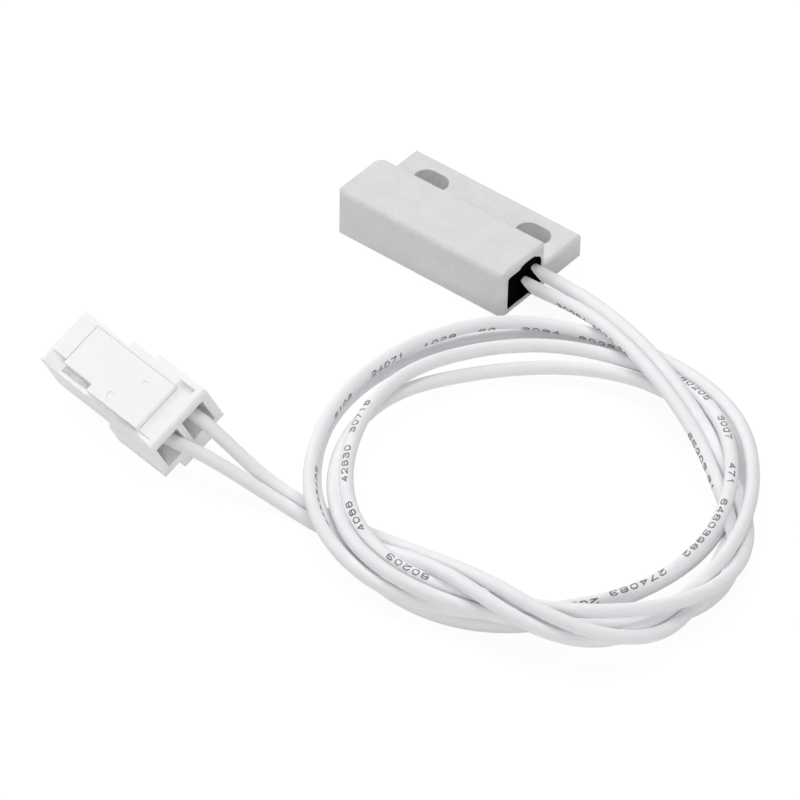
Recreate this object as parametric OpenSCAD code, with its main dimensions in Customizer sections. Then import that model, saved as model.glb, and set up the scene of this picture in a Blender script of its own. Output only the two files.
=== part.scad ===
// Flange-mount reed sensor: a potted plastic housing with a reed switch inside,
// two insulated wires lying in loose turns, and a two-way plug on their ends.
// Millimetres. The origin is under the middle of the housing, +X towards the
// cable end, +Y towards the mounting flange, +Z up.

/* [Housing] */
// Length of the housing, along the flange
housing_l = 23; // [20:0.5:30]
// Width of the housing over the block and the flange
housing_w = 13.9; // [13:0.1:18]
// Height of the block that holds the switch
housing_h = 5.9; // [5.7:0.1:8]
// Width of the block
block_w = 7.4; // [7.3:0.1:8]
// Thickness of the mounting flange
flange_t = 2.9; // [1.5:0.1:4]
// Radius of the block's outer corner at the cable end, seen from above
cable_corner_r = 1.1; // [0.4:0.1:1.5]
// Radius of the block's outer corner at the closed end, seen from above
closed_corner_r = 0.65; // [0.3:0.05:1.2]
// Radius of the block's corner over the flange at the cable end
mouth_corner_r = 0.4; // [0.2:0.1:0.8]
// Radius of the block's corner over the flange at the closed end
step_corner_r = 1.3; // [0.4:0.1:1.8]
// Radius of the flange's corners, seen from above
flange_corner_r = 0.15; // [0.1:0.05:1]
// Radius along the block's long top edge
block_edge_r = 0.9; // [0.3:0.05:1]
// Radius along the top edges at the cable end
end_edge_r = 0.5; // [0.2:0.05:0.8]
// Radius along the bottom edge at the cable end
base_edge_r = 0.2; // [0.1:0.05:0.3]
// Radius along all other edges
small_edge_r = 0.12; // [0.08:0.02:0.2]

/* [Mounting slots] */
// Width of a slot
slot_w = 3; // [2.2:0.1:3.4]
// Length of a slot, end to end
slot_l = 4.2; // [3.6:0.1:5]
// Distance between the slots' centres
slot_spacing = 14.2; // [12:0.1:15]
// Distance from the flange's edge to the slots' centre line
slot_inset = 3.15; // [2.4:0.05:3.8]
// Offset of the slot pair from the middle, towards the cable end
slot_shift = 0.2; // [-0.5:0.1:0.5]

/* [Potted cavity] */
// Wall under the cavity
floor_t = 0.6; // [0.4:0.05:0.8]
// Wall over the cavity
roof_t = 0.95; // [0.6:0.05:1.1]
// Wall on the outer side of the cavity
outer_wall_t = 0.95; // [0.8:0.05:1.2]
// Wall between the cavity and the flange
inner_wall_t = 0.55; // [0.4:0.05:0.6]
// Wall at the closed end of the cavity
end_wall_t = 1; // [0.6:0.1:1.2]
// Radius of the cavity's corner over the wires
cavity_corner_r = 1.2; // [0.3:0.1:1.5]
// Depth of the potting's face below the housing's end
potting_recess = 0.1; // [0.1:0.05:0.4]

/* [Reed switch] */
// Diameter of the glass tube
glass_d = 2.2; // [1.8:0.1:2.4]
// Thickness of the glass
glass_t = 0.3; // [0.2:0.05:0.4]
// Length of the solid glass seal at each end
glass_seal_l = 2.4; // [1.5:0.1:3]
// Diameter of the round leads
reed_lead_d = 0.6; // [0.4:0.05:0.7]
// Width of a flattened blade
blade_w = 1.1; // [0.8:0.05:1.2]
// Thickness of a flattened blade
blade_t = 0.2; // [0.1:0.02:0.25]
// Overlap of the two blades at the contact
contact_overlap = 1; // [0.5:0.1:1.5]
// Gap between the open contacts
contact_gap = 0.05; // [0.02:0.01:0.1]
// Straight length of lead between the glass and its first bend
lead_stub = 1; // [0.8:0.1:1.2]
// Clearance between the bent lead and the closed end of the cavity
bend_clearance = 0.25; // [0.1:0.05:0.5]
// Clearance between the glass and the first wire's lap joint
joint_clearance = 0.5; // [0.2:0.05:0.8]
// Clearance between the glass and the cavity's outer wall
reed_clearance = 1.3; // [0.6:0.05:1.4]
// Length of the soldered lap joints
lap_l = 1.9; // [1.5:0.1:2]
// Length over which the first wire's strands cross to the reed's lead
joggle_l = 1.4; // [1.2:0.1:1.5]
// Bare strands between the second wire's insulation and its joint
bare_l = 0.8; // [0.4:0.1:1.2]
// Gap between two lapped rods, filled with solder
lap_gap = 0.06; // [0.04:0.01:0.1]
// Thickness of the solder round a lap joint
solder_t = 0.2; // [0.1:0.02:0.25]

/* [Wires] */
// Diameter over the insulation
wire_d = 1.5; // [1.3:0.05:1.5]
// Diameter of the tinned strands
strand_d = 0.6; // [0.4:0.05:0.6]
// Length of insulation of the first wire inside the potting
embed_one = 1.3; // [1:0.1:1.5]
// Length of insulation of the second wire inside the potting
embed_two = 6.6; // [5:0.1:6.8]
// Length over which the wires leave the potting straight
straight_l = 2.4; // [1:0.1:4]

/* [Plug] */
// Length of the plug
plug_l = 18.5; // [18.2:0.1:19]
// Width of the plug's nose
nose_w = 7; // [6.9:0.1:7.4]
// Height of the plug
plug_h = 5.6; // [5.5:0.05:6.5]
// Distance between the two contacts
pitch = 3.9; // [3.7:0.05:4]
// First step out of the far side
far_step = 0.55; // [0.3:0.05:0.8]
// Place of the first step, from the front
far_step_at = 7.3; // [6:0.1:8]
// Reach of the far shoulder beyond the nose
far_shoulder = 1.1; // [1:0.05:1.4]
// Reach of the near shoulder beyond the nose
near_shoulder = 0.9; // [0.85:0.05:1.2]
// Place of the shoulders, from the front
shoulder_at = 11; // [10:0.1:11.5]
// Depth of the sloping cut along the near shoulder, at its start
slope_start = 2.5; // [1.5:0.1:2.6]
// Depth of the sloping cut along the near shoulder, at the wire end
slope_end = 1; // [0.6:0.1:1.2]
// Width of the low rail along the nose's near side
rail_w = 1.65; // [1.3:0.05:1.8]
// Width of a cavity at the wire end
cavity_w = 3.15; // [2.8:0.05:3.2]
// Height of a cavity at the wire end
cavity_h = 3.65; // [3.4:0.05:3.8]
// Wall over the cavities at the wire end
plug_roof_t = 1; // [0.9:0.05:1.2]
// Length of the wide part of a cavity
cavity_l = 5.5; // [5:0.1:6]
// Width and height of the bore that guides a contact's box
guide_w = 2.1; // [1.95:0.05:2.2]
// Side of the square mouth for the mating pin
mouth_w = 1.3; // [1:0.05:1.5]
// Thickness of the front wall
front_wall_t = 1.4; // [0.8:0.1:1.6]
// Width of the rib under the plug
rib_w = 4.2; // [3:0.1:4.4]
// Depth of the rib under the plug
rib_h = 1.2; // [0.8:0.05:1.4]
// Distance from the rib to the near side of the shoulder
rib_inset = 2.35; // [2:0.05:3]
// Radius along the plug's edges
plug_edge_r = 0.15; // [0.1:0.05:0.3]
// Radius along the plug's top edge at the wire end
rear_edge_r = 0.35; // [0.2:0.05:0.5]

/* [Retainer] */
// Depth of the pocket that the retainer plate lies in
pocket_h = 0.7; // [0.5:0.05:0.8]
// Start of the pocket, from the front
pocket_at = 2.6; // [2:0.1:2.8]
// Thickness of the wall behind the pocket
rear_wall_t = 0.95; // [0.7:0.05:1.2]
// Length of the retainer plate
plate_l = 12.6; // [12:0.1:13]
// Width of the retainer plate at the nose
plate_w = 5.2; // [5:0.1:5.3]
// Extra width of the plate behind its cut-away corner
plate_flare = 0.85; // [0.5:0.05:0.9]
// Length of the cut-away corner
cutaway_l = 4.6; // [3:0.1:5]
// Depth of the slot beside the cut-away corner
slot_h = 1.3; // [0.9:0.05:1.4]
// Depth of the recess behind the plate
recess_h = 0.55; // [0.3:0.05:0.6]
// Clearance all round the plate
plate_gap = 0.08; // [0.06:0.02:0.14]
// Length of a locking leg under the plate
leg_l = 0.9; // [0.6:0.1:1.1]

/* [Contacts] */
// Side of a contact's square box
box_w = 1.9; // [1.7:0.05:1.9]
// Length of a contact's box
box_l = 6; // [5:0.1:6.5]
// Thickness of the contacts' sheet metal
sheet_t = 0.22; // [0.15:0.01:0.25]
// Length of the crimp on the strands
strand_crimp_l = 2; // [1.5:0.1:2.4]
// Length of the crimp on the insulation
jacket_crimp_l = 1.8; // [1.2:0.1:2.2]

/* [Hidden] */

$fn = 48;
// length by which a cutting shape runs past the face that it cuts
over = 0.5;

// housing
end_x = housing_l / 2;
outer_y = -housing_w / 2;
step_y = outer_y + block_w;
flange_y = housing_w / 2;
slot_y = flange_y - slot_inset;
cavity_x = -end_x + end_wall_t;
cavity_y = outer_y + outer_wall_t;
cavity_far_y = step_y - inner_wall_t;
cavity_top = housing_h - roof_t;
potting_x = end_x - potting_recess;
well_corner_r = 0.3;
// edges where the block and the flange run into each other
hidden_edge_r = 0.05;

// where the wires leave the potting
exit_one_y = -2.6;
exit_one_z = 2.1;
exit_two_y = cavity_far_y - wire_d / 2 - 0.05;
exit_two_z = 2.8;

// reed switch, with its axis beside the second wire's line
reed_z = exit_two_z;
lap_pitch = (strand_d + reed_lead_d) / 2 + lap_gap;
return_y = exit_two_y - lap_pitch;
reed_y = cavity_y + glass_d / 2 + reed_clearance;
bend_r = (return_y - reed_y) / 2;
bend_x = cavity_x + bend_clearance + reed_lead_d / 2 + bend_r;
strip_one_x = potting_x - embed_one;
strip_two_x = potting_x - embed_two;
lap_one_y = reed_y + lap_pitch;
joggle_x = strip_one_x - 0.1;
reed_end_one = joggle_x - joggle_l;
lap_one_x = reed_end_one - lap_l;
glass_x = bend_x + lead_stub;
glass_end = lap_one_x - joint_clearance;
glass_l = glass_end - glass_x;
glass_mid = glass_x + glass_l / 2;
lap_two_x = strip_two_x - bare_l - lap_l;
blade_z = (contact_gap + blade_t) / 2;
// a blade flattens over this length, which ends a little inside the hollow
blade_taper_l = 0.6;
taper_inset = 0.15;
lead_in_glass = glass_seal_l + taper_inset + 0.05;

// plug: it lies rolled over, on its lower edge and its rib
plug_roll = atan(rib_h / rib_inset);
plug_turn = -9.2;
near_edge = nose_w + near_shoulder;
plug_lift = sin(plug_roll) * near_edge + cos(plug_roll) * plug_h;
plug_at = [-17, -42.4, plug_lift];
contact_z = -plug_roof_t - cavity_h / 2 - 0.05;
contact_y = [-(nose_w - pitch) / 2 + 0.05, -(nose_w + pitch) / 2 + 0.05];
box_x = front_wall_t + 0.6;
strand_crimp_x = box_x + box_l + 2;
jacket_crimp_x = strand_crimp_x + strand_crimp_l + 0.8;
// the insulation ends well inside its crimp
jacket_end_x = jacket_crimp_x + 0.75;
leg_x = box_x + box_l + 0.3;
plate_x = pocket_at + plate_gap;
plate_y = -0.6;
plate_end_x = plate_x + plate_l;
plate_near_y = plate_y - plate_w - plate_flare;
shoulder_w = near_edge + far_shoulder;
// the nose's near rail lies as low as the pocket, behind a ramp
rail_y = -nose_w + rail_w;
ramp_x = 0.4;
// small pits that the ejector pins leave in the plate
pit_at = [[10, -5.5], [12.3, -2.4]];
pit_d = 0.8;
pit_h = 0.05;

// The wires. Each list pulls one smooth curve from the potting to the plug. The
// points were chosen by hand, and the wires lie over and under each other as
// the heights say. They leave the potting straight.
straight_x = potting_x + straight_l;
route_one = [[potting_x, exit_one_y, exit_one_z], [straight_x, exit_one_y, exit_one_z],
    [21.5, -4.2, 4.4], [31, -7.7, 5.4],
    [41, -12.1, 4.9], [50, -18.5, 3.6], [56, -23.5, 2], [56.5, -30, 0.5], [53, -37, 1],
    [47.3, -43.8, 2.5], [40.5, -48.5, 3.6], [30.5, -50.7, 4.2], [20.7, -47.3, 3.9],
    [13.7, -38.5, 3.8], [11.6, -27.5, 3], [14.5, -18.5, 1.3], [21.5, -10.5, 1.5],
    [31, -7, 2.6], [41, -8.7, 3.4], [50.1, -15.5, 2.2], [52, -26, 1],
    [49.3, -36, 1.3], [44.5, -45, 0.8], [35, -50, 0.7], [25, -49.5, 1.9],
    [15.5, -45, 2.7], [9.5, -35, 3.3], [8.5, -24.5, 2.4], [10.5, -15, 1.5],
    [17, -7, 1.1], [26.5, -3, 1.3], [36.5, -3.7, 1.2], [44.5, -8.1, 0.8],
    [50.6, -16, 0.7], [53, -23, 1.2], [55.6, -29.5, 2.5], [57.1, -37, 2.3],
    [54.5, -43, 4.2], [48, -46, 5.7], [40.5, -45.8, 6.2], [31, -44.6, 3.2],
    [20.5, -44.2, 0.8], [11.5, -44.5, 0.7], [6, -45.5, 4.3], [1.5, -45.2, 5.7],
    [-1.5, -44.9, 5.4], [-3.6, -44.6, 5.35]];
route_two = [[potting_x, exit_two_y, exit_two_z], [straight_x, exit_two_y, exit_two_z],
    [21.5, -2.7, 4.5], [31.5, -6.1, 5.4],
    [41, -10.6, 4.4], [46.9, -14.4, 4], [52.5, -18, 3.4], [57, -24, 3.6],
    [57.5, -31, 4.1], [55.2, -37.5, 5.1], [50, -42.5, 5], [41.5, -46, 4],
    [31.5, -48.9, 3.4], [21, -46, 4.2], [14.5, -37, 4.9], [11.5, -26.5, 4.6],
    [13.5, -16.5, 2.9], [20, -8.5, 2.6], [30.5, -5.5, 2.8], [40, -7.4, 4.7],
    [49, -15, 6.3], [53.5, -24.5, 5.1], [52, -34.5, 3.3], [45.5, -42.5, 2.5],
    [37.5, -49.5, 2.2], [27.5, -51.5, 2.7], [17, -47.5, 3.9], [11, -38, 4.9],
    [8.5, -27.5, 4.3], [9.5, -17.5, 3.6], [14.5, -8.5, 3.1], [24.5, -4.1, 2.5],
    [34.5, -4.1, 3.6], [44.5, -8.4, 5.6], [50, -13.5, 5.2], [53.8, -19.5, 5.2],
    [55.7, -26, 4.4], [55.5, -33.5, 3.6], [54.5, -40.5, 2.6], [50.5, -45.5, 3.3],
    [44.5, -48, 5.2], [37, -47.2, 5.7], [29.5, -46.1, 3.5], [21, -46, 0.3],
    [12, -46, 1.1], [5.5, -47.8, 3.9], [1, -48, 3.8], [-2, -48.3, 3.6],
    [-4.1, -48.05, 3.6]];
wire_rings = 78;
wire_sides = 8;

// a point before the first or after the last continues the list in a straight line
function route_at(p, i) = i < 0 ? 2 * p[0] - p[1]
    : i >= len(p) ? 2 * p[len(p) - 1] - p[len(p) - 2] : p[i];

// point of the smooth cubic curve that the list pulls, u counting its points
function smooth(p, u) = let (i = min(floor(u), len(p) - 2), s = u - i)
    (pow(1 - s, 3) * route_at(p, i - 1)
    + (3 * pow(s, 3) - 6 * s * s + 4) * p[i]
    + (-3 * pow(s, 3) + 3 * s * s + 3 * s + 1) * p[i + 1]
    + pow(s, 3) * route_at(p, i + 2)) / 6;

function unit(v) = v / norm(v);

// the wire's centre line: its straight start in the potting, then the curve
function centres(p, embed) = concat([p[0] - [embed, 0, 0]],
    [for (k = [0 : wire_rings - 1]) smooth(p, k * (len(p) - 1) / (wire_rings - 1))]);

function headings(c) = [for (k = [0 : len(c) - 1])
    unit(c[min(k + 1, len(c) - 1)] - c[max(k - 1, 0)])];

// a side direction square to heading h, turned as little as possible from s
function carried(s, h) = unit(s - (s * h) * h);

function sides_along(h) = [for (k = 0, s = carried([0, 0, 1], h[0]); k < len(h);
    k = k + 1, s = k < len(h) ? carried(s, h[k]) : s) s];

// a tube with flat ends round the centre line c
module tube_along(c, r) {
    h = headings(c);
    s = sides_along(h);
    points = [for (k = [0 : len(c) - 1], j = [0 : wire_sides - 1])
        let (a = 360 * j / wire_sides)
        c[k] + r * (cos(a) * s[k] + sin(a) * cross(h[k], s[k]))];
    walls = [for (k = [0 : len(c) - 2], j = [0 : wire_sides - 1])
        let (i = k * wire_sides, next = (j + 1) % wire_sides)
        [i + j, i + wire_sides + j, i + wire_sides + next, i + next]];
    first = [for (j = [0 : wire_sides - 1]) j];
    last = [for (j = [wire_sides - 1 : -1 : 0]) (len(c) - 1) * wire_sides + j];
    polyhedron(points, concat(walls, [first, last]));
}

// the corner that a fillet of radius r removes from a flat outline
module fillet_corner(r) {
    difference() {
        translate([-over, -over])
            square(r + over);
        translate([r, r])
            circle(r);
    }
}

// an outline from one corner to the other, with its four corner radii given
// anticlockwise from the lowest corner
module rounded_outline(low, high, r) {
    difference() {
        translate(low)
            square(high - low);
        translate(low)
            fillet_corner(r[0]);
        translate([high[0], low[1]])
            mirror([1, 0])
                fillet_corner(r[1]);
        translate(high)
            rotate(180)
                fillet_corner(r[2]);
        translate([low[0], high[1]])
            mirror([0, 1])
                fillet_corner(r[3]);
    }
}

// stands an outline drawn in Y and Z up across the X axis
module along_x(x, length) {
    translate([x, 0, 0])
        rotate([90, 0, 90])
            linear_extrude(length)
                children();
}

module rod_x(x, y, z, length, d) {
    translate([x, y, z])
        rotate([0, 90, 0])
            cylinder(d = d, h = length);
}

// stands an outline drawn in X and Z up, and runs it along the Y axis
module along_y(y, width) {
    translate([0, y + width, 0])
        rotate([90, 0, 0])
            linear_extrude(width)
                children();
}

// a part of the housing as wide as far_y, from its outlines as seen from the
// end, from above and from the side
module moulded(far_y, height, end_radii, plan_radii) {
    intersection() {
        along_x(-end_x, housing_l)
            rounded_outline([outer_y, 0], [far_y, height], end_radii);
        linear_extrude(height)
            rounded_outline([-end_x, outer_y], [end_x, far_y], plan_radii);
        along_y(outer_y - over, housing_w + 2 * over)
            rounded_outline([-end_x, 0], [end_x, height],
                [small_edge_r, base_edge_r, end_edge_r, small_edge_r]);
    }
}

module mounting_slot(x) {
    reach = (slot_l - slot_w) / 2;
    translate([x, slot_y, -over]) {
        for (side = [-1, 1])
            translate([side * reach, 0, 0])
                cylinder(d = slot_w, h = flange_t + 2 * over);
        translate([-reach, -slot_w / 2, 0])
            cube([2 * reach, slot_w, flange_t + 2 * over]);
    }
}

module cavity(x, end) {
    along_x(x, end - x)
        rounded_outline([cavity_y, floor_t], [cavity_far_y, cavity_top],
            [well_corner_r, well_corner_r, cavity_corner_r, well_corner_r]);
}

module housing() {
    color("gainsboro")
    difference() {
        union() {
            moulded(step_y, housing_h,
                [small_edge_r, hidden_edge_r, small_edge_r, block_edge_r],
                [closed_corner_r, cable_corner_r, mouth_corner_r, step_corner_r]);
            moulded(flange_y, flange_t,
                [small_edge_r, small_edge_r, small_edge_r, hidden_edge_r],
                [closed_corner_r, cable_corner_r, flange_corner_r, flange_corner_r]);
        }
        cavity(cavity_x, end_x + over);
        mounting_slot(slot_shift - slot_spacing / 2);
        mounting_slot(slot_shift + slot_spacing / 2);
    }
}

// the glass tube's outline, from one seal to the other, turned about the axis
module glass_solid() {
    shoulder = glass_d / 2 - reed_lead_d;
    rod_x(glass_x + shoulder, reed_y, reed_z, glass_l - 2 * shoulder, glass_d);
    for (side = [-1, 1])
        translate([glass_mid + side * (glass_l / 2 - shoulder), reed_y, reed_z])
            rotate([0, side * 90, 0]) {
                cylinder(r = reed_lead_d, h = shoulder);
                rotate_extrude()
                    translate([reed_lead_d, 0])
                        intersection() {
                            circle(shoulder);
                            square(shoulder);
                        }
            }
}

// the hollow inside the glass, round at both ends
module glass_hollow() {
    hollow_r = glass_d / 2 - glass_t;
    reach = glass_l / 2 - glass_seal_l - hollow_r;
    rod_x(glass_mid - reach, reed_y, reed_z, 2 * reach, 2 * hollow_r);
    for (side = [-1, 1])
        translate([glass_mid + side * reach, reed_y, reed_z])
            sphere(hollow_r);
}

module reed_glass() {
    color("palegreen", 0.5)
    difference() {
        glass_solid();
        glass_hollow();
        rod_x(glass_x - over, reed_y, reed_z, glass_l + 2 * over, reed_lead_d);
    }
}

// a flattened blade from the seal to the contact, on one side of the axis
module blade(side) {
    root = glass_l / 2 - glass_seal_l - blade_taper_l;
    translate([glass_mid, reed_y, reed_z]) {
        translate([side > 0 ? -contact_overlap / 2 : -root, -blade_w / 2,
                side * blade_z - blade_t / 2])
            cube([root + contact_overlap / 2, blade_w, blade_t]);
        translate([side * root, 0, 0])
            hull() {
                translate([-0.05, -blade_w / 2, side * blade_z - blade_t / 2])
                    cube([0.1, blade_w, blade_t]);
                translate([side * (blade_taper_l - taper_inset) - 0.05, 0, 0])
                    rotate([0, 90, 0])
                        cylinder(d = reed_lead_d, h = 0.1, $fn = 32);
            }
    }
}

module reed_blade_one() {
    start = glass_end - lead_in_glass;
    color("silver") {
        blade(1);
        rod_x(start, reed_y, reed_z, reed_end_one - start, reed_lead_d);
    }
}

// the far lead turns back beside the glass to meet the second wire
module lead_bend() {
    translate([bend_x, (reed_y + return_y) / 2, reed_z])
        rotate([0, 0, 90])
            rotate_extrude(angle = 180)
                translate([bend_r, 0])
                    circle(d = reed_lead_d);
}

module reed_blade_two() {
    color("silver") {
        blade(-1);
        rod_x(bend_x, reed_y, reed_z, lead_stub + lead_in_glass, reed_lead_d);
        lead_bend();
        rod_x(bend_x, return_y, reed_z, lap_two_x + lap_l - bend_x, reed_lead_d);
    }
}

// solder round two rods that lie side by side from x, centred between them
module solder_body(x, y) {
    d = reed_lead_d + strand_d + lap_gap + 2 * solder_t;
    rod_x(x + 0.2, y, reed_z, lap_l - 0.4, d);
    for (side = [0, 1])
        translate([x + 0.2 + side * (lap_l - 0.4), y, reed_z])
            rotate([0, side * 180 - 90, 0])
                cylinder(d1 = d, d2 = d - solder_t, h = 0.2);
}

module solder_one() {
    color("darkgray")
    difference() {
        solder_body(lap_one_x, (reed_y + lap_one_y) / 2);
        rod_x(glass_end, reed_y, reed_z, housing_l, reed_lead_d);
        strand_path_one();
    }
}

module solder_two() {
    color("darkgray")
    difference() {
        solder_body(lap_two_x, (return_y + exit_two_y) / 2);
        rod_x(bend_x, return_y, reed_z, housing_l, reed_lead_d);
        rod_x(lap_two_x - over, exit_two_y, exit_two_z, housing_l, strand_d);
    }
}

// the first wire's strands cross from the wire's line to the reed's lead in an
// easy double bend, then lie along the lead
function joggle_at(t) = let (w = (1 - cos(180 * t)) / 2)
    [joggle_x - t * joggle_l, exit_one_y + w * (lap_one_y - exit_one_y),
    exit_one_z + w * (reed_z - exit_one_z)];

module strand_path_one() {
    tube_along(concat([[strip_one_x, exit_one_y, exit_one_z]],
        [for (t = [0 : 0.125 : 1]) joggle_at(t)],
        [[lap_one_x, lap_one_y, reed_z]]), strand_d / 2);
}

module strands_one_in_sensor() {
    color("tan")
        strand_path_one();
}

module strands_two_in_sensor() {
    color("tan")
        rod_x(lap_two_x, exit_two_y, exit_two_z, strip_two_x - lap_two_x, strand_d);
}

module potting() {
    color("#1c1c1c")
    difference() {
        cavity(cavity_x, potting_x);
        glass_solid();
        rod_x(glass_end, reed_y, reed_z, reed_end_one - glass_end, reed_lead_d);
        rod_x(bend_x, reed_y, reed_z, lead_stub, reed_lead_d);
        lead_bend();
        rod_x(bend_x, return_y, reed_z, lap_two_x + lap_l - bend_x, reed_lead_d);
        solder_body(lap_one_x, (reed_y + lap_one_y) / 2);
        solder_body(lap_two_x, (return_y + exit_two_y) / 2);
        strand_path_one();
        rod_x(lap_two_x, exit_two_y, exit_two_z, strip_two_x - lap_two_x, strand_d);
        rod_x(strip_one_x, exit_one_y, exit_one_z, embed_one + over, wire_d);
        rod_x(strip_two_x, exit_two_y, exit_two_z, embed_two + over, wire_d);
    }
}

module wire_one() {
    color("whitesmoke")
        tube_along(centres(route_one, embed_one), wire_d / 2);
}

module wire_two() {
    color("whitesmoke")
        tube_along(centres(route_two, embed_two), wire_d / 2);
}

// puts what is drawn in the plug's own frame where the plug lies: X from the
// front to the wire end, Y towards its far side, Z up from its top face
module in_plug() {
    translate(plug_at)
        rotate([plug_roll, 0, plug_turn])
            children();
}

// an upright outline of the plug's body between two places along it
module plug_body(from, to, near, far) {
    along_x(from, to - from)
        rounded_outline([-near, -plug_h], [far, 0],
            [plug_edge_r, plug_edge_r, plug_edge_r, plug_edge_r]);
}

// the bore for one contact, from the wide wire end to the pin's mouth
module contact_cavity(y) {
    translate([plug_l - cavity_l, y - cavity_w / 2, -plug_roof_t - cavity_h])
        cube([cavity_l + over, cavity_w, cavity_h]);
    translate([front_wall_t, y - guide_w / 2, contact_z - guide_w / 2])
        cube([plug_l - cavity_l, guide_w, guide_w]);
    translate([-over, y - mouth_w / 2, contact_z - mouth_w / 2])
        cube([front_wall_t + 2 * over, mouth_w, mouth_w]);
}

module plate_outline(gap) {
    translate([plate_x - gap, plate_y - plate_w - gap])
        square([plate_l + 2 * gap, plate_w + 2 * gap]);
    translate([plate_x + cutaway_l - gap, plate_y - plate_w - plate_flare - gap])
        square([plate_l - cutaway_l + 2 * gap, plate_w + plate_flare]);
}

module leg_slots(gap) {
    for (y = contact_y)
        translate([leg_x - gap, y - guide_w / 2 + 0.2 - gap, contact_z + box_w / 2 - 0.5 - gap])
            cube([leg_l + 2 * gap, guide_w - 0.4 + 2 * gap, -contact_z]);
}

// the plug without its openings
module plug_solid() {
    intersection() {
        union() {
            plug_body(0, plug_l, nose_w, 0);
            plug_body(far_step_at, plug_l, nose_w, far_step);
            plug_body(shoulder_at, plug_l, near_edge, far_shoulder);
        }
        along_y(-near_edge - over, shoulder_w + 2 * over)
            rounded_outline([0, -plug_h], [plug_l, 0],
                [plug_edge_r, plug_edge_r, rear_edge_r, plug_edge_r]);
    }
    translate([shoulder_at, -near_edge + rib_inset, -plug_h - rib_h])
        cube([plug_l - shoulder_at, rib_w, rib_h + 1]);
}

// what the near rail leaves open over it, with the ramp at the front
module over_rail() {
    along_y(-nose_w - over, rail_y + nose_w + over)
        polygon([[ramp_x, 0], [pocket_at, -pocket_h], [shoulder_at, -pocket_h],
            [shoulder_at, over], [ramp_x, over]]);
    translate([shoulder_at, -nose_w, -pocket_h])
        cube([plug_l - rear_wall_t - shoulder_at, nose_w + plate_near_y + 0.1, 1]);
}

// a wedge whose lower face slopes up along the near shoulder and inwards
module shoulder_slope() {
    rise = 1.8;
    reach = 4;
    tilt = atan((slope_start - slope_end) / (plug_l - shoulder_at));
    intersection() {
        translate([shoulder_at, -near_edge, -slope_start])
            rotate([0, -tilt, 0])
                along_x(-1, plug_l)
                    polygon([[-over, -rise * over], [reach, rise * reach], [-over, rise * reach]]);
        translate([shoulder_at, -near_edge - over, -plug_h])
            cube([plug_l, near_edge, plug_h + 1]);
    }
}

module plug_housing() {
    color("white")
    in_plug()
    difference() {
        plug_solid();
        for (y = contact_y)
            contact_cavity(y);
        translate([0, 0, -pocket_h])
            linear_extrude(pocket_h + over)
                plate_outline(plate_gap);
        over_rail();
        shoulder_slope();
        translate([plate_x, -nose_w + 0.45, -slot_h])
            cube([cutaway_l, plate_y - plate_w + nose_w - 0.45, slot_h + over]);
        translate([plate_end_x, plate_near_y - 0.35, -recess_h])
            cube([plug_l - rear_wall_t - plate_end_x, 0.7 - plate_near_y, recess_h + over]);
        leg_slots(plate_gap);
        translate([-over, -nose_w / 2 - 0.55, -0.5])
            cube([0.25 + over, 0.8, 1]);
    }
}

module plug_retainer() {
    color("ghostwhite")
    in_plug() {
        difference() {
            translate([0, 0, -pocket_h])
                linear_extrude(pocket_h)
                    plate_outline(0);
            for (p = pit_at)
                translate([p[0], p[1], -pit_h])
                    cylinder(d = pit_d, h = pit_h + over);
        }
        intersection() {
            leg_slots(0);
            translate([0, -nose_w, contact_z])
                cube([plug_l, nose_w, -contact_z - pocket_h + 0.1]);
        }
    }
}

// a sheet wrapped round a conductor of diameter d, open at its top
module crimp(x, length, d) {
    translate([x, 0, 0])
        rotate([0, 90, 0])
            linear_extrude(length)
                difference() {
                    circle(d = d + 2 * sheet_t);
                    circle(d = d);
                    translate([-d, -0.06])
                        square([d, 0.12]);
                }
}

// a folded socket contact: a square box, a neck and two crimps
module contact(y) {
    base_z = -wire_d / 2 - sheet_t;
    in_plug()
    translate([0, y, contact_z]) {
        difference() {
            translate([box_x, -box_w / 2, -box_w / 2])
                cube([box_l, box_w, box_w]);
            translate([box_x - over, -box_w / 2 + sheet_t, -box_w / 2 + sheet_t])
                cube([box_l + 2 * over, box_w - 2 * sheet_t, box_w - 2 * sheet_t]);
        }
        // spring tongue that presses on the mating pin
        translate([box_x + 0.5, -0.5, -box_w / 2 + sheet_t / 2])
            rotate([0, -6, 0])
                cube([3.6, 1, sheet_t]);
        translate([box_x, -0.5, -box_w / 2])
            cube([strand_crimp_x - box_x + 0.4, 1, sheet_t]);
        translate([strand_crimp_x, -0.35, base_z])
            cube([jacket_crimp_x + 0.4 - strand_crimp_x, 0.7, sheet_t]);
        translate([strand_crimp_x, -0.35, base_z])
            cube([0.4, 0.7, -base_z - strand_d / 2]);
        crimp(strand_crimp_x, strand_crimp_l, strand_d);
        crimp(jacket_crimp_x, jacket_crimp_l, wire_d);
    }
}

module contact_one() {
    color("goldenrod")
        contact(contact_y[0]);
}

module contact_two() {
    color("goldenrod")
        contact(contact_y[1]);
}

// bare strands between the insulation and the end of their crimp
module strands_in_plug(y) {
    color("tan")
    in_plug()
        rod_x(strand_crimp_x - 0.3, y, contact_z, jacket_end_x - strand_crimp_x + 0.3, strand_d);
}

module strands_one_in_plug() {
    strands_in_plug(contact_y[0]);
}

module strands_two_in_plug() {
    strands_in_plug(contact_y[1]);
}

housing();
potting();
reed_glass();
reed_blade_one();
reed_blade_two();
solder_one();
solder_two();
strands_one_in_sensor();
strands_two_in_sensor();
wire_one();
wire_two();
strands_one_in_plug();
strands_two_in_plug();
contact_one();
contact_two();
plug_housing();
plug_retainer();
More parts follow.
